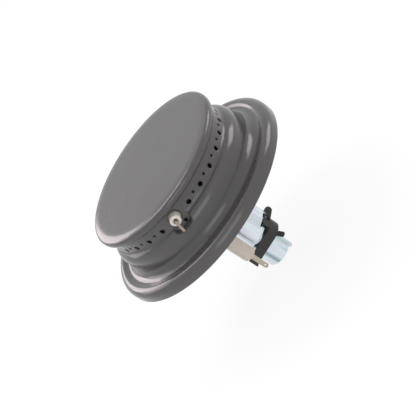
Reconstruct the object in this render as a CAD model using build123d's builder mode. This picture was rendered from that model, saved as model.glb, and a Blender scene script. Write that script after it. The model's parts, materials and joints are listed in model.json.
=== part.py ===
"""Sealed gas burner head: enamelled cap and port body over a plated mixer tube.

Millimetres. +Z runs up the burner's axis with the cap on top, and the origin is the
middle of the gas inlet's mouth at the bottom. Heights are set from the seat, the plane
of the skirt's lower edge, where the head sits on the cooktop. The spark electrode lies
in the YZ plane, on the -Y side.
"""

import math
import os

from build123d import *

# Enamelled pressings: cap and port body
sheet = 1.0
skirt_radius = 63.5
skirt_ease = 0.9
bead_width = 5.5
bead_step_width = 1.6
bead_step_rise = 1.0
bead_ease = 0.9
trough_rise = 6.3
neck_inset = 13.3
neck_ease = 0.97
shoulder_width = 4.4
shoulder_rise = 20.4
shoulder_bend = 5.5
ledge_rise = 22.9
ledge_bend = 2.2
flange_reach = 1.0
flange_bend = 0.5
cap_overhang = 2.8
cap_rise = 36.6
cap_rim_height = 5.2
cap_rim_corner = 2.0
cap_crown_width = 5.0
cap_crown_drop = 0.5
cap_crown_bend = 25.0
hem_gap = 0.1
lip_gap = 0.35

# Flame ports, in one row of large and small by turns
port_pairs = 26
large_port = 2.7
large_port_rise = 25.2
small_port = 1.6
small_port_rise = 26.3
flash_port = 2.0
flash_port_rise = 20.3
flash_port_shift = 2.2

# Pocket pressed into the ledge under the electrode
pocket_width = 13.6
pocket_floor_rise = 18.2
pocket_corner = 2.6
pocket_draft = 12.0

# Chamber floor
pan_rise = 11.0
pan_rim_height = 5.4
pan_bend = 1.8
press_gap = 0.05

# Mixer tube
tube_radius = 14.8
tube_sheet = 1.0
tube_drop = 36.4
tube_end_bend = 1.6
tube_flange_width = 5.4
tube_flange_bend = 0.5
tube_hole_gap = 0.6
notch_count = 4
notch_width = 11.3
notch_height = 3.9
notch_corner = 1.6
tongue_turn = 17.9
seat_ring = 1.4

# Rivets through the tube's flange and the pan
rivet_count = 4
rivet_setback = 2.9
rivet_shank = 2.4
rivet_head = 4.0
rivet_head_height = 1.0
rivet_head_round = 0.6
rivet_gap = 0.1

# Orifice holder
holder_radius = 8.15
holder_gap = 0.15
holder_stub = 3.4
collar_radius = 10.4
collar_height = 1.6
holder_drop = 58.3
holder_edge = 0.6
inlet_radius = 5.2
inlet_depth = 16.5
rib_width = 3.0
rib_stand = 0.7
rib_depth = 1.8
rib_overhang = 1.2
rib_angle = -8.0

# Brass gas orifice
spud_thread_radius = 3.6
spud_thread_length = 4.0
spud_thread_gap = 0.05
spud_flats = 10.0
spud_hex_height = 3.2
spud_nose_radius = 2.9
spud_nose_height = 3.4
spud_nose_cone = 1.2
gas_passage_radius = 1.6
jet_radius = 0.7
jet_length = 1.6

# Spring clip round the holder
clip_sheet = 0.9
clip_turn = 19.4
clip_height = 6.0
clip_drop = 40.4
clip_gap = 0.05
clip_bend_x = 4.0
prong_length = 15.0
prong_flare = 2.4
prong_flare_angle = 35.0
ear_length = 6.8
ear_neck = 1.8
ear_lobe_radius = 2.2
ear_tilt = 42.0
hook_length = 5.2
hook_width = 4.2
hook_angle = -50.0
tab_length = 4.4
tab_width = 3.0
tab_angle = -62.0
tab_tilt = -40.0

# Spark electrode: wire, port-wall bushing and lower stem
electrode_rise = 26.2
rod_radius = 0.8
rod_gap = 0.1
rod_bend = 3.6
tip_bend = 1.6
tip_clearance = 5.6
tip_throw = 4.2
tip_rise = 20.9
bushing_radius = 3.2
bushing_stand = 4.4
bushing_head_radius = 4.4
bushing_head_length = 4.0
bushing_edge = 0.5
bushing_mouth_radius = 1.6
bushing_mouth_depth = 1.2
wall_hole_gap = 0.5
stem_clearance = 4.8
stem_radius = 4.2
stem_drop = 29.6
stem_edge = 0.8
stem_neck_radius = 3.0
stem_neck_length = 8.0
stem_hole_gap = 0.15
push_nut_radius = 5.5
push_nut_sheet = 0.5

# Spade terminal
spade_width = 2.8
spade_sheet = 0.6
spade_length = 12.8
spade_point = 0.9
spade_hole = 1.2
spade_hole_inset = 2.0
spade_root = 0.6
barrel_radius = 1.6
barrel_length = 4.0
barrel_gap = 0.2

# Places that follow from the sizes above: rises and drops are measured from the seat
electrode_angle = -90.0
bead_radius = skirt_radius - bead_width
trough_radius = bead_radius - bead_step_width
neck_radius = skirt_radius - neck_inset
half_step = math.hypot(bead_step_width, bead_step_rise) / 2
bead_bend = bead_ease * half_step / math.tan(math.atan2(bead_step_rise, bead_step_width) / 2)
skirt_roll = skirt_ease * (bead_width - half_step)
neck_fillet = neck_ease * (trough_radius - neck_radius - half_step)
wall_radius = neck_radius - shoulder_width
cap_radius = wall_radius + cap_overhang
tube_flange_radius = tube_radius + tube_flange_width
rivet_circle = tube_radius + rivet_setback
tip_start = wall_radius + tip_clearance
tip_reach = tip_start + tip_throw
bushing_end = wall_radius + bushing_stand
stem_offset = tube_flange_radius + push_nut_radius + stem_clearance
seat_z = holder_drop
cap_top_z = seat_z + cap_rise
ledge_z = seat_z + ledge_rise
shoulder_z = seat_z + shoulder_rise
trough_z = seat_z + trough_rise
bead_z = trough_z + bead_step_rise
large_port_z = seat_z + large_port_rise
small_port_z = seat_z + small_port_rise
flash_port_z = seat_z + flash_port_rise
pocket_floor_z = seat_z + pocket_floor_rise
pan_z = seat_z + pan_rise
electrode_z = seat_z + electrode_rise
tip_z = seat_z + tip_rise
tube_end_z = seat_z - tube_drop
clip_top_z = seat_z - clip_drop
stem_end_z = seat_z - stem_drop
holder_end_z = 0.0
port_pitch = 360.0 / port_pairs
chamber_radius = wall_radius - sheet
neck_inner_radius = neck_radius - sheet
neck_foot_z = trough_z + neck_fillet
flange_under_z = cap_top_z - cap_crown_drop - sheet - hem_gap - sheet
pocket_root = math.sqrt(chamber_radius**2 - (pocket_width / 2) ** 2)
pocket_flare = (neck_radius - pocket_root) * math.tan(math.radians(pocket_draft))
pan_top_z = pan_z + sheet
flange_top_z = pan_top_z + tube_sheet
seat_radius = holder_radius + holder_gap
clip_bottom_z = clip_top_z - clip_height
clip_line = holder_radius + clip_gap + clip_sheet / 2
holder_top_z = tube_end_z + holder_stub
spud_hole_radius = spud_thread_radius + spud_thread_gap
spud_foot_z = holder_top_z - spud_thread_length
rod_hole_radius = rod_radius + rod_gap
rod_foot_z = stem_end_z + 2 * spade_root
bushing_face = math.sqrt(chamber_radius**2 - bushing_head_radius**2) - press_gap

os.makedirs("parts", exist_ok=True)


def radial_plane(angle, radius, z):
    """Plane at a polar angle and radius, its normal pointing away from the axis."""
    turn = math.radians(angle)
    outward = Vector(math.cos(turn), math.sin(turn), 0)
    return Plane(outward * radius + Vector(0, 0, z), Vector(-outward.Y, outward.X, 0), outward)


def axial_plane(angle):
    """Plane through the axis at a polar angle, x pointing outward and y up."""
    turn = math.radians(angle)
    return Plane((0, 0, 0), (math.cos(turn), math.sin(turn), 0), (math.sin(turn), -math.cos(turn), 0))


def clip_plane(angle, z, tilt):
    """Plane on the clip's bend whose y axis leans outward, tilt degrees above level."""
    turn = math.radians(clip_turn + angle)
    lean = math.radians(tilt)
    outward = Vector(math.cos(turn), math.sin(turn), 0)
    centre = Vector(clip_bend_x, 0, z).rotate(Axis.Z, clip_turn)
    normal = outward * math.sin(lean) - Vector(0, 0, math.cos(lean))
    return Plane(centre + outward * clip_line, Vector(-outward.Y, outward.X, 0), normal)


# Cap: disc with an eased edge, its rim rolled down and under the body's flange
with BuildPart() as cap:
    with BuildSketch(Plane.XZ):
        with BuildLine():
            cap_skin = FilletPolyline(
                (0, cap_top_z),
                (cap_radius - cap_crown_width, cap_top_z),
                (cap_radius, cap_top_z - cap_crown_drop),
                (cap_radius, cap_top_z - cap_rim_height),
                (wall_radius + lip_gap, cap_top_z - cap_rim_height),
                radius=[cap_crown_bend, cap_rim_corner, cap_rim_corner],
            )
            offset(cap_skin, amount=sheet, side=Side.RIGHT)
        make_face()
    revolve(axis=Axis.Z)

# Pocket tool: round-cornered, drafted press that works from outside, up to the port wall
with BuildPart() as pocket:
    with BuildSketch(radial_plane(electrode_angle, pocket_root, ledge_z)):
        pocket_height = 2 * (ledge_z - pocket_floor_z - pocket_flare)
        RectangleRounded(pocket_width - 2 * pocket_flare, pocket_height, pocket_corner)
    extrude(amount=neck_radius + sheet - pocket_root, taper=-pocket_draft)
    with Locations((0, 0, ledge_z)):
        Cylinder(wall_radius, 2 * cap_rise, mode=Mode.SUBTRACT)

# Body: flange, port wall, ledge, neck, trough, bead and skirt drawn from one sheet
with BuildPart() as body:
    with BuildSketch(Plane.XZ):
        with BuildLine():
            body_skin = FilletPolyline(
                (wall_radius + flange_reach, flange_under_z),
                (wall_radius, flange_under_z),
                (wall_radius, ledge_z),
                (neck_radius, shoulder_z),
                (neck_radius, trough_z),
                (trough_radius, trough_z),
                (bead_radius, bead_z),
                (skirt_radius, bead_z),
                (skirt_radius, seat_z),
                radius=[
                    flange_bend,
                    ledge_bend,
                    shoulder_bend,
                    neck_fillet,
                    bead_bend,
                    bead_bend,
                    skirt_roll,
                ],
            )
            offset(body_skin, amount=sheet, side=Side.RIGHT)
        make_face()
    revolve(axis=Axis.Z)

    # Metal round the pocket: the ledge is filled over the pocket's width, then pressed
    fill_angle = 2 * math.degrees(math.asin((pocket_width / 2 + sheet) / chamber_radius))
    with BuildSketch(axial_plane(electrode_angle - fill_angle / 2)):
        with BuildLine():
            FilletPolyline(
                (chamber_radius, ledge_z),
                (wall_radius, ledge_z - sheet / 2),
                (neck_radius - sheet / 2, shoulder_z - sheet / 2),
                (neck_radius - sheet / 2, neck_foot_z),
                (chamber_radius, neck_foot_z),
                radius=[0, 0, shoulder_bend - sheet / 2, 0, 0],
                close=True,
            )
        make_face()
    revolve(axis=Axis.Z, revolution_arc=fill_angle)
    with BuildSketch(Plane.XY.offset(pocket_floor_z - sheet)):
        Circle(neck_inner_radius)
    extrude(amount=-pocket_floor_rise, mode=Mode.SUBTRACT)
    add(pocket.part, mode=Mode.SUBTRACT)

    # Flame ports all round, with the electrode in place of one pair
    with Locations((0, 0, large_port_z)):
        with PolarLocations(
            wall_radius,
            port_pairs - 1,
            electrode_angle + port_pitch,
            360 - 2 * port_pitch,
            endpoint=True,
        ):
            Cylinder(large_port / 2, 4 * sheet, rotation=(0, 90, 0), mode=Mode.SUBTRACT)
    with Locations((0, 0, small_port_z)):
        with PolarLocations(
            wall_radius,
            port_pairs - 2,
            electrode_angle + 1.5 * port_pitch,
            360 - 3 * port_pitch,
            endpoint=True,
        ):
            Cylinder(small_port / 2, 4 * sheet, rotation=(0, 90, 0), mode=Mode.SUBTRACT)

    # Electrode hole, and the flash port beside the spark
    with BuildSketch(radial_plane(electrode_angle, 0, electrode_z)):
        Circle(bushing_radius + wall_hole_gap)
    extrude(amount=neck_radius, mode=Mode.SUBTRACT)
    flash_angle = electrode_angle + math.degrees(math.asin(flash_port_shift / wall_radius))
    with BuildSketch(radial_plane(flash_angle, 0, flash_port_z)):
        Circle(flash_port / 2)
    extrude(amount=neck_radius, mode=Mode.SUBTRACT)

# Pan: chamber floor, pressed into the neck, holed for tube, stem and rivets
with BuildPart() as pan:
    with BuildSketch(Plane.XZ):
        with BuildLine():
            pan_skin = FilletPolyline(
                (tube_radius + tube_hole_gap, pan_z),
                (neck_inner_radius - press_gap, pan_z),
                (neck_inner_radius - press_gap, pan_z + pan_rim_height),
                radius=pan_bend,
            )
            offset(pan_skin, amount=sheet, side=Side.LEFT)
        make_face()
    revolve(axis=Axis.Z)
    with BuildSketch(Plane.XY.offset(pan_z)):
        with Locations((0, -stem_offset)):
            Circle(stem_neck_radius + stem_hole_gap)
        with PolarLocations(rivet_circle, rivet_count):
            Circle(rivet_shank / 2 + rivet_gap)
    extrude(amount=sheet, mode=Mode.SUBTRACT)

# Mixer tube: flanged top on the pan, end turned in to a seat on four tongues
with BuildPart() as tube:
    with BuildSketch(Plane.XZ):
        with BuildLine():
            tube_skin = FilletPolyline(
                (tube_flange_radius, pan_top_z),
                (tube_radius, pan_top_z),
                (tube_radius, tube_end_z),
                (seat_radius, tube_end_z),
                radius=[tube_flange_bend, tube_end_bend],
            )
            offset(tube_skin, amount=tube_sheet, side=Side.RIGHT)
        make_face()
    revolve(axis=Axis.Z)
    for notch in range(notch_count):
        notch_turn = electrode_angle + tongue_turn + (notch + 0.5) * 360 / notch_count
        with BuildSketch(radial_plane(notch_turn, seat_radius + seat_ring, tube_end_z)):
            RectangleRounded(notch_width, 2 * notch_height, notch_corner)
        extrude(amount=tube_radius, mode=Mode.SUBTRACT)
    with BuildSketch(Plane.XY.offset(pan_top_z)):
        with PolarLocations(rivet_circle, rivet_count):
            Circle(rivet_shank / 2 + rivet_gap)
    extrude(amount=tube_sheet, mode=Mode.SUBTRACT)

# Rivets: shank through flange and pan, a domed head on each side
with BuildPart() as rivets:
    with BuildSketch(Plane.XY.offset(pan_z)):
        with PolarLocations(rivet_circle, rivet_count):
            Circle(rivet_shank / 2)
    extrude(amount=flange_top_z - pan_z)
    with BuildSketch(Plane.XY.offset(pan_z), Plane.XY.offset(flange_top_z + rivet_head_height)):
        with PolarLocations(rivet_circle, rivet_count):
            Circle(rivet_head / 2)
    extrude(amount=-rivet_head_height)
    head_rims = rivets.edges().filter_by(GeomType.CIRCLE).group_by(Axis.Z)
    fillet(head_rims[0] + head_rims[-1], rivet_head_round)

# Orifice holder: turned tube with a collar under the tube's seat and a side rib
with BuildPart() as holder:
    with BuildSketch(Plane.XZ):
        with BuildLine():
            Polyline(
                (inlet_radius, holder_end_z),
                (inlet_radius, holder_end_z + inlet_depth),
                (gas_passage_radius, holder_end_z + inlet_depth),
                (gas_passage_radius, spud_foot_z),
                (spud_hole_radius, spud_foot_z),
                (spud_hole_radius, holder_top_z),
                (holder_radius, holder_top_z),
                (holder_radius, tube_end_z),
                (collar_radius, tube_end_z),
                (collar_radius, tube_end_z - collar_height),
                (holder_radius, tube_end_z - collar_height),
                (holder_radius, holder_end_z),
                close=True,
            )
        make_face()
    revolve(axis=Axis.Z)
    holder_foot = holder.edges().filter_by(GeomType.CIRCLE).group_by(Axis.Z)[0]
    chamfer(holder_foot.sort_by(SortBy.RADIUS)[-1], holder_edge)
    rib_middle = holder_radius + rib_stand - rib_depth / 2
    with BuildSketch(Plane.XY.offset(holder_end_z - rib_overhang)):
        with PolarLocations(rib_middle, 1, rib_angle):
            RectangleRounded(rib_depth, rib_width, rib_depth / 3)
    extrude(amount=clip_bottom_z - holder_edge - holder_end_z + rib_overhang)

# Gas orifice: threaded foot, hexagon, coned nose and a fine jet
with BuildPart() as spud:
    with BuildSketch(Plane.XY.offset(spud_foot_z)):
        Circle(spud_thread_radius)
    extrude(amount=spud_thread_length)
    with BuildSketch(Plane.XY.offset(holder_top_z)):
        RegularPolygon(spud_flats / 2, 6, major_radius=False)
    extrude(amount=spud_hex_height)
    with BuildSketch(Plane.XY.offset(holder_top_z + spud_hex_height)):
        Circle(spud_nose_radius)
    extrude(amount=spud_nose_height)
    chamfer(spud.edges().filter_by(GeomType.CIRCLE).sort_by(Axis.Z)[-1], spud_nose_cone)
    with BuildSketch(Plane.XY.offset(spud_foot_z)):
        Circle(jet_radius)
    extrude(amount=spud_thread_length + spud_hex_height + spud_nose_height, mode=Mode.SUBTRACT)
    with BuildSketch(Plane.XY.offset(spud_foot_z)):
        Circle(gas_passage_radius)
    extrude(
        amount=spud_thread_length + spud_hex_height + spud_nose_height - jet_length,
        mode=Mode.SUBTRACT,
    )

# Spring clip: strip on edge bent to a U round the holder, with ear, hook and tab
with BuildPart() as clip:
    with BuildSketch(Plane((0, 0, clip_bottom_z), Vector(1, 0, 0).rotate(Axis.Z, clip_turn), (0, 0, 1))):
        with BuildLine():
            prong_x = clip_bend_x - prong_length
            flare_x = prong_x - prong_flare * math.cos(math.radians(prong_flare_angle))
            flare_y = clip_line + prong_flare * math.sin(math.radians(prong_flare_angle))
            Polyline((flare_x, -flare_y), (prong_x, -clip_line), (clip_bend_x, -clip_line))
            CenterArc((clip_bend_x, 0), clip_line, -90, 180)
            Polyline((clip_bend_x, clip_line), (prong_x, clip_line), (flare_x, flare_y))
            offset(amount=clip_sheet / 2, side=Side.BOTH)
        make_face()
    extrude(amount=clip_height)
    ear_along = Vector(math.cos(math.radians(ear_tilt)), 0, math.sin(math.radians(ear_tilt)))
    ear_root = Vector(clip_bend_x + clip_line, 0, clip_top_z - clip_sheet / 2)
    ear_frame = [spot.rotate(Axis.Z, clip_turn) for spot in (ear_root, ear_along, Vector(0, -1, 0))]
    with BuildSketch(Plane(*ear_frame)):
        Circle(ear_neck / 2)
        with Locations((ear_length - ear_lobe_radius, 0)):
            Circle(ear_lobe_radius)
        make_hull()
    extrude(amount=clip_sheet / 2, both=True)
    with BuildSketch(clip_plane(hook_angle, clip_top_z, 90)):
        with Locations((0, hook_length / 2 - clip_sheet)):
            RectangleRounded(hook_width, hook_length + 2 * clip_sheet, hook_width / 4)
    extrude(amount=clip_sheet / 2, both=True)
    with BuildSketch(clip_plane(tab_angle, clip_bottom_z, tab_tilt)):
        with Locations((0, (tab_length - clip_sheet) / 2)):
            RectangleRounded(tab_width, tab_length + clip_sheet, tab_width / 4)
    extrude(amount=clip_sheet / 2, both=True)

# Electrode wire: up through the stem, across the chamber and out through the wall
with BuildPart() as rod:
    with BuildLine(Plane.YZ) as rod_path:
        FilletPolyline(
            (-stem_offset, rod_foot_z),
            (-stem_offset, electrode_z),
            (-tip_start, electrode_z),
            (-tip_reach, tip_z),
            radius=[rod_bend, tip_bend],
        )
    with BuildSketch(Plane.XY.offset(rod_foot_z)):
        with Locations((0, -stem_offset)):
            Circle(rod_radius)
    sweep(path=rod_path.line)

# Bushing: ceramic through the port wall, headed inside, with a recessed mouth
with BuildPart() as bushing:
    with BuildSketch(radial_plane(electrode_angle, bushing_face - bushing_head_length, electrode_z)):
        Circle(bushing_head_radius)
    extrude(amount=bushing_head_length)
    with BuildSketch(radial_plane(electrode_angle, bushing_face, electrode_z)):
        Circle(bushing_radius)
    extrude(amount=bushing_end - bushing_face)
    fillet(bushing.edges().filter_by(GeomType.CIRCLE).sort_by(Axis.Y)[0], bushing_edge)
    with BuildSketch(radial_plane(electrode_angle, 0, electrode_z)):
        Circle(rod_hole_radius)
    extrude(amount=skirt_radius, mode=Mode.SUBTRACT)
    with BuildSketch(radial_plane(electrode_angle, bushing_end, electrode_z)):
        Circle(bushing_mouth_radius)
    extrude(amount=-bushing_mouth_depth, mode=Mode.SUBTRACT)

# Stem: lower ceramic, shouldered under the pan, bored for the wire and the terminal
with BuildPart() as stem:
    with BuildSketch(Plane.XY.offset(stem_end_z)):
        with Locations((0, -stem_offset)):
            Circle(stem_radius)
    extrude(amount=pan_z - stem_end_z)
    fillet(stem.edges().filter_by(GeomType.CIRCLE).sort_by(Axis.Z)[0], stem_edge)
    with BuildSketch(Plane.XY.offset(pan_z)):
        with Locations((0, -stem_offset)):
            Circle(stem_neck_radius)
    extrude(amount=stem_neck_length)
    with BuildSketch(Plane.XY.offset(stem_end_z)):
        with Locations((0, -stem_offset)):
            Circle(rod_hole_radius)
    extrude(amount=pan_z + stem_neck_length - stem_end_z, mode=Mode.SUBTRACT)
    with BuildSketch(Plane.XY.offset(stem_end_z)):
        with Locations((0, -stem_offset)):
            Circle(barrel_radius + barrel_gap)
    extrude(amount=barrel_length, mode=Mode.SUBTRACT)

# Push nut: spring washer that keeps the stem up in the pan
with BuildPart() as push_nut:
    with BuildSketch(Plane.XY.offset(pan_top_z)):
        with Locations((0, -stem_offset)):
            Circle(push_nut_radius)
            Circle(stem_neck_radius + press_gap, mode=Mode.SUBTRACT)
    extrude(amount=push_nut_sheet)

# Spade terminal: flat blade under the stem, its barrel on the wire's foot
with BuildPart() as spade:
    with BuildSketch(Plane.XY.offset(stem_end_z)):
        with Locations((0, -stem_offset)):
            Circle(barrel_radius)
            Circle(rod_radius + press_gap, mode=Mode.SUBTRACT)
    extrude(amount=barrel_length)
    with BuildSketch(Plane((0, -stem_offset, stem_end_z), (1, 0, 0), (0, -1, 0))) as blade:
        with Locations((0, (spade_root - spade_length) / 2)):
            Rectangle(spade_width, spade_length + spade_root)
        chamfer(blade.vertices().group_by(Axis.Z)[0], spade_point)
        with Locations((0, spade_hole_inset - spade_length)):
            Circle(spade_hole / 2, mode=Mode.SUBTRACT)
    extrude(amount=spade_sheet / 2, both=True)

pieces = {
    "burner_cap": cap,
    "burner_body": body,
    "chamber_pan": pan,
    "mixer_tube": tube,
    "flange_rivets": rivets,
    "orifice_holder": holder,
    "gas_orifice": spud,
    "spring_clip": clip,
    "electrode_rod": rod,
    "electrode_bushing": bushing,
    "electrode_stem": stem,
    "push_nut": push_nut,
    "spade_terminal": spade,
}
for name, piece in pieces.items():
    piece.part.label = name
    export_step(piece.part, f"parts/{name}.step")
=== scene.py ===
"""Gas burner head in porcelain enamel, zinc plate, ceramic and black spring steel."""

import json
import math

import bpy
from mathutils import Matrix, Vector


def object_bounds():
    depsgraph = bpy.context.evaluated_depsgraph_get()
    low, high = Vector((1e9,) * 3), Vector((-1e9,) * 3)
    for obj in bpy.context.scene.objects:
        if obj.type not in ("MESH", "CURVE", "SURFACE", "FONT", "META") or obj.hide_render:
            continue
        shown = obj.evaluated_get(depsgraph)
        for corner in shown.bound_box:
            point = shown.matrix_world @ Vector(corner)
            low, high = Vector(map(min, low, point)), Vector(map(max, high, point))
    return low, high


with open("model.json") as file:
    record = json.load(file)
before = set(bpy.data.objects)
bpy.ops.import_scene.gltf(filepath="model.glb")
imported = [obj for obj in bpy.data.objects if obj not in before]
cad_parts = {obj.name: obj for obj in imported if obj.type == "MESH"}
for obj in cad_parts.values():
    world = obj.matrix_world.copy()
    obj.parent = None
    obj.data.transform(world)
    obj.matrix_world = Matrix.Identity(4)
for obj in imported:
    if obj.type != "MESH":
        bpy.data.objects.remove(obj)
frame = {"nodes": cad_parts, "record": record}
cad_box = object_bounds()
nodes = frame["nodes"]
scene = bpy.context.scene
MM = 0.001


def linear(code):
    """Linear RGBA of an sRGB hex colour, by the sRGB curve."""
    srgb = [int(code[i : i + 2], 16) / 255 for i in (1, 3, 5)]
    return tuple(c / 12.92 if c <= 0.04045 else ((c + 0.055) / 1.055) ** 2.4 for c in srgb) + (1.0,)


def add_node(tree, kind, settings=None, links=None, stops=()):
    """Adds a node: settings fill its properties or input sockets, links feed its sockets.

    A colour ramp also takes its stops, as pairs of a place from 0 to 1 and a hex colour.
    """
    node = tree.nodes.new(kind)
    for key, value in (settings or {}).items():
        if isinstance(key, str) and hasattr(node, key):
            setattr(node, key, value)
        else:
            node.inputs[key].default_value = value
    for key, source in (links or {}).items():
        tree.links.new(source, node.inputs[key])
    if stops:
        elements = node.color_ramp.elements
        while len(elements) < len(stops):
            elements.new(1.0)
        for element, (place, code) in zip(elements, stops):
            element.position = place
            element.color = linear(code)
    return node


def new_material(name):
    """An empty node material with its output, ready for a shader."""
    material = bpy.data.materials.new(name)
    material.use_nodes = True
    material.node_tree.nodes.clear()
    output = add_node(material.node_tree, "ShaderNodeOutputMaterial")
    return material, material.node_tree, output


def grey_enamel():
    """Porcelain enamel, sprayed and fired on steel: glassy, mid grey, a faint orange peel."""
    material, tree, output = new_material("grey_porcelain_enamel")
    place = add_node(tree, "ShaderNodeTexCoord").outputs["Object"]
    # Orange peel about 3 mm across, and a slow cloud of tone about 40 mm across
    peel = add_node(tree, "ShaderNodeTexNoise", {"Scale": 1 / (3 * MM), "Detail": 2.0}, {"Vector": place})
    cloud = add_node(tree, "ShaderNodeTexNoise", {"Scale": 1 / (40 * MM), "Detail": 3.0}, {"Vector": place})
    tone = add_node(
        tree,
        "ShaderNodeValToRGB",
        links={"Fac": cloud.outputs["Fac"]},
        stops=[(0.3, "#454344"), (0.7, "#4b494a")],
    )
    # The glass flows over each cut edge and rounds it by about a millimetre and a half
    flowed = add_node(tree, "ShaderNodeBevel", {"samples": 8, "Radius": 1.6 * MM})
    bump = add_node(
        tree,
        "ShaderNodeBump",
        {"Strength": 0.05, "Distance": 0.2 * MM},
        {"Height": peel.outputs["Fac"], "Normal": flowed.outputs["Normal"]},
    )
    # Spray streaks on the cap's top, about 2.5 mm apart and 50 mm long
    streak_turn = math.radians(-19.5)
    turned = add_node(tree, "ShaderNodeMapping", {"Rotation": (0, 0, streak_turn)}, {"Vector": place})
    drawn = add_node(
        tree,
        "ShaderNodeMapping",
        {"Scale": (1 / (50 * MM), 1 / (2.5 * MM), 1 / (50 * MM))},
        {"Vector": turned.outputs["Vector"]},
    )
    streaks = add_node(
        tree, "ShaderNodeTexNoise", {"Scale": 1.0, "Detail": 2.0}, {"Vector": drawn.outputs["Vector"]}
    )
    # They fade in over the cap's rounded rim, from 3.4 to 1.4 mm below its top
    cap_top = cad_box[1][2]
    fade_start = cap_top - 3.4 * MM
    fade_end = cap_top - 1.4 * MM
    parts = add_node(tree, "ShaderNodeSeparateXYZ", links={"Vector": place})
    on_cap = add_node(
        tree,
        "ShaderNodeMapRange",
        {"From Min": fade_start, "From Max": fade_end, "To Min": 0.0, "To Max": 0.35},
        {"Value": parts.outputs["Z"]},
    )
    streaked = add_node(
        tree,
        "ShaderNodeBump",
        {"Distance": 0.15 * MM},
        {
            "Strength": on_cap.outputs["Result"],
            "Height": streaks.outputs["Fac"],
            "Normal": bump.outputs["Normal"],
        },
    )
    shader = add_node(
        tree,
        "ShaderNodeBsdfPrincipled",
        {"Roughness": 0.17, "IOR": 1.52},
        {"Base Color": tone.outputs["Color"], "Normal": streaked.outputs["Normal"]},
    )
    tree.links.new(shader.outputs["BSDF"], output.inputs["Surface"])
    return material


def zinc_plate():
    """Bright zinc plate on drawn steel: bluish white, draw lines along the axis, a rainbow film, and
    painted reflection in light and dark bands along the axis.
    """
    material, tree, output = new_material("bright_zinc_plate")
    place = add_node(tree, "ShaderNodeTexCoord").outputs["Object"]
    # Draw lines 120 mm long, drawn coarser than life, about 4 mm apart, so that they show
    drawn = add_node(
        tree,
        "ShaderNodeMapping",
        {"Scale": (1 / (4 * MM), 1 / (4 * MM), 1 / (120 * MM))},
        {"Vector": place},
    )
    lines = add_node(
        tree, "ShaderNodeTexNoise", {"Scale": 1.0, "Detail": 1.0}, {"Vector": drawn.outputs["Vector"]}
    )
    # Film colours mixed with painted reflection: light and dark stripes about 7 mm across, drawn out along
    # the axis, stand in for highlight bands and reflected shade
    film_and_reflection_place = add_node(
        tree,
        "ShaderNodeMapping",
        {"Scale": (1 / (7 * MM), 1 / (7 * MM), 1 / (90 * MM))},
        {"Vector": place},
    )
    film_and_reflection = add_node(
        tree, "ShaderNodeTexNoise", {"Scale": 1.0, "Detail": 1.0}, {"Vector": film_and_reflection_place.outputs["Vector"]}
    )
    # The ramp's darkest and lightest stops are painted reflection: dark bands for reflected shade, pale
    # bands for highlight
    tint = add_node(
        tree,
        "ShaderNodeValToRGB",
        links={"Fac": film_and_reflection.outputs["Fac"]},
        stops=[
            (0.28, "#76838a"),
            (0.37, "#a9bdc5"),
            (0.5, "#dde8ee"),
            (0.58, "#d2d3e0"),
            (0.7, "#bcd5cb"),
        ],
    )
    rough = add_node(
        tree,
        "ShaderNodeMapRange",
        {"From Min": 0.3, "From Max": 0.7, "To Min": 0.16, "To Max": 0.24},
        {"Value": lines.outputs["Fac"]},
    )
    bump = add_node(
        tree, "ShaderNodeBump", {"Strength": 0.06, "Distance": 0.1 * MM}, {"Height": lines.outputs["Fac"]}
    )
    shader = add_node(
        tree,
        "ShaderNodeBsdfPrincipled",
        {"Metallic": 1.0},
        {
            "Base Color": tint.outputs["Color"],
            "Roughness": rough.outputs["Result"],
            "Normal": bump.outputs["Normal"],
        },
    )
    tree.links.new(shader.outputs["BSDF"], output.inputs["Surface"])
    return material


def grained(name, dark, light, grain_mm, roughness, metallic=0.0, bump_strength=0.1):
    """A plain finish with a grain: colour between two tones and a bump of the same grain.

    The grain is drawn coarser than life, because a pixel of the render covers half a millimetre.
    The IOR stays at the shader's own 1.5.
    """
    material, tree, output = new_material(name)
    place = add_node(tree, "ShaderNodeTexCoord").outputs["Object"]
    grain = add_node(
        tree, "ShaderNodeTexNoise", {"Scale": 1 / (grain_mm * MM), "Detail": 4.0}, {"Vector": place}
    )
    tone = add_node(
        tree,
        "ShaderNodeValToRGB",
        links={"Fac": grain.outputs["Fac"]},
        stops=[(0.3, dark), (0.7, light)],
    )
    bump = add_node(
        tree,
        "ShaderNodeBump",
        {"Strength": bump_strength, "Distance": 0.1 * MM},
        {"Height": grain.outputs["Fac"]},
    )
    shader = add_node(
        tree,
        "ShaderNodeBsdfPrincipled",
        {"Roughness": roughness, "Metallic": metallic},
        {"Base Color": tone.outputs["Color"], "Normal": bump.outputs["Normal"]},
    )
    tree.links.new(shader.outputs["BSDF"], output.inputs["Surface"])
    return material


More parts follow.
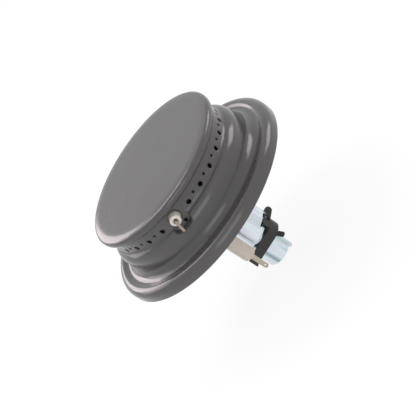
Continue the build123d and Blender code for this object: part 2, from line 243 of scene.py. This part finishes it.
finishes = {
    "grey_enamel": grey_enamel(),
    "zinc_plate": zinc_plate(),
    # Cold-rolled sheet, oiled: mid grey with a soft sheen
    "plain_steel": grained("cold_rolled_steel", "#7e7f80", "#8f9091", 1.2, 0.38, metallic=1.0),
    # Turned brass: warm yellow, fine tool marks
    "turned_brass": grained("turned_brass", "#b08d4c", "#c4a25f", 0.6, 0.3, metallic=1.0),
    # Phosphated spring steel: near black, dull
    "black_spring_steel": grained("black_phosphated_spring_steel", "#222121", "#2d2b2b", 0.8, 0.5),
    # Drawn electrode wire, a little heat-tinted
    "electrode_wire": grained("drawn_electrode_wire", "#8a7f72", "#a89c8c", 0.8, 0.35, metallic=1.0),
    # Glazed alumina: a warm, slightly grey white with a glassy skin
    "white_ceramic": grained("glazed_alumina", "#c6bfb7", "#d5cfc7", 1.5, 0.25, bump_strength=0.05),
    # Steatite, fired without glaze: greyish cream with a soft sheen
    "cream_ceramic": grained("cream_steatite", "#bdb3a8", "#c4bab0", 2.0, 0.36, bump_strength=0.05),
    # Tinned brass strip: pale beige metal
    "terminal_metal": grained("tinned_brass_strip", "#a9a08e", "#bdb5a4", 0.8, 0.35, metallic=1.0),
}
for subpart in frame["record"]["subparts"]:
    cad_mesh = nodes[subpart["node"]].data
    cad_mesh.materials.clear()
    cad_mesh.materials.append(finishes[subpart["material_slot"]])


def seen_rays(tree):
    """Socket that is 1 on camera, mirror and clear-glass rays and 0 on the rest."""
    path = add_node(tree, "ShaderNodeLightPath")
    eye = add_node(
        tree,
        "ShaderNodeMath",
        {"operation": "MAXIMUM"},
        {0: path.outputs["Is Camera Ray"], 1: path.outputs["Is Glossy Ray"]},
    )
    seen = add_node(
        tree,
        "ShaderNodeMath",
        {"operation": "MAXIMUM"},
        {0: eye.outputs["Value"], 1: path.outputs["Is Transmission Ray"]},
    )
    return seen.outputs["Value"]


def studio():
    """Soft white surround, pale floor under the head, and five softboxes round it."""
    world = bpy.data.worlds.new("studio")
    world.use_nodes = True
    scene.world = world
    tree = world.node_tree
    tree.nodes.clear()
    # White to the eye, and three quarters of that as light on the head
    shown = add_node(tree, "ShaderNodeBackground", {"Color": (1, 1, 1, 1), "Strength": 1.0})
    lit = add_node(tree, "ShaderNodeBackground", {"Color": (1, 1, 1, 1), "Strength": 0.75})
    mixed = add_node(
        tree, "ShaderNodeMixShader", links={0: seen_rays(tree), 1: lit.outputs[0], 2: shown.outputs[0]}
    )
    add_node(tree, "ShaderNodeOutputWorld", links={"Surface": mixed.outputs[0]})

    # A square floor, 8 m across, under the head's lowest point
    floor_z = cad_box[0][2]
    half = 4.0
    corners = ((-half, -half), (half, -half), (half, half), (-half, half))
    mesh = bpy.data.meshes.new("floor")
    mesh.from_pydata([(x, y, floor_z) for x, y in corners], [], [(0, 1, 2, 3)])
    floor = bpy.data.objects.new("floor", mesh)
    scene.collection.objects.link(floor)
    material, tree, output = new_material("white_paper_floor")
    glow = add_node(tree, "ShaderNodeEmission", {"Color": (1, 1, 1, 1), "Strength": 1.0})
    paper = add_node(tree, "ShaderNodeBsdfDiffuse", {"Color": linear("#f4f4f4")})
    # The eye sees the paper mostly as clean white, with a faint trace of the shadow left
    clean_share = 0.85
    share = add_node(
        tree, "ShaderNodeMath", {"operation": "MULTIPLY", 1: clean_share}, {0: seen_rays(tree)}
    )
    mixed = add_node(
        tree,
        "ShaderNodeMixShader",
        links={0: share.outputs["Value"], 1: paper.outputs[0], 2: glow.outputs[0]},
    )
    tree.links.new(mixed.outputs[0], output.inputs["Surface"])
    mesh.materials.append(material)

    # All softboxes point at the axis, just above the skirt's lower edge
    aim_point = Vector((0, 0, 60 * MM))
    # Place in metres, side of the square in metres, watts, and the tint of the cloth
    for name, place, size, power, tint in (
        ("rear_softbox", (-0.24, 0.35, 0.85), 0.42, 2.5, "#fffafb"),
        ("left_softbox", (-0.506, 0.638, 0.446), 0.33, 1.35, "#fff1f4"),
        ("side_softbox", (-0.64, 0.42, 0.54), 0.4, 1.0, "#fff5f7"),
        ("right_softbox", (0.75, 0.38, 0.37), 0.47, 2.8, "#fff8f9"),
        ("front_softbox", (0.15, -0.83, 0.37), 0.6, 1.6, "#ffffff"),
    ):
        lamp = bpy.data.lights.new(name, "AREA")
        lamp.shape = "SQUARE"
        lamp.size = size
        lamp.energy = power
        lamp.color = linear(tint)[:3]
        lamp_object = bpy.data.objects.new(name, lamp)
        aim = aim_point - Vector(place)
        turned = aim.to_track_quat("-Z", "Y").to_matrix().to_4x4()
        lamp_object.matrix_world = Matrix.Translation(place) @ turned
        scene.collection.objects.link(lamp_object)


def camera():
    """Camera on a sphere round a point by the axis, rolled so that the axis leans as in the photograph."""
    azimuth = math.radians(18.75)
    elevation = math.radians(24.2)
    lean = math.radians(33.4)
    distance = 1.0
    field = 228.7 * MM
    sensor_width = 36.0
    # The picture's middle lies a little to the left of and below this point on the axis
    axis_point = Vector((0, 0, 52.2 * MM))
    left_of_point = 0.5 * MM
    below_point = 1.1 * MM
    level = Vector((math.sin(azimuth), -math.cos(azimuth), 0))
    away = level * math.cos(elevation) + Vector((0, 0, math.sin(elevation)))
    right = Vector((math.cos(azimuth), math.sin(azimuth), 0))
    up = away.cross(right)
    turn = lean - math.pi / 2
    image_right = right * math.cos(turn) + up * math.sin(turn)
    image_up = up * math.cos(turn) - right * math.sin(turn)
    target = axis_point - image_right * left_of_point - image_up * below_point
    lens = bpy.data.cameras.new("camera")
    lens.sensor_width = sensor_width
    lens.lens = sensor_width * distance / field
    eye = bpy.data.objects.new("camera", lens)
    turned = Matrix((image_right, image_up, away)).transposed().to_4x4()
    eye.matrix_world = Matrix.Translation(target + away * distance) @ turned
    scene.collection.objects.link(eye)
    scene.camera = eye


studio()
camera()
scene.view_settings.view_transform = "Standard"
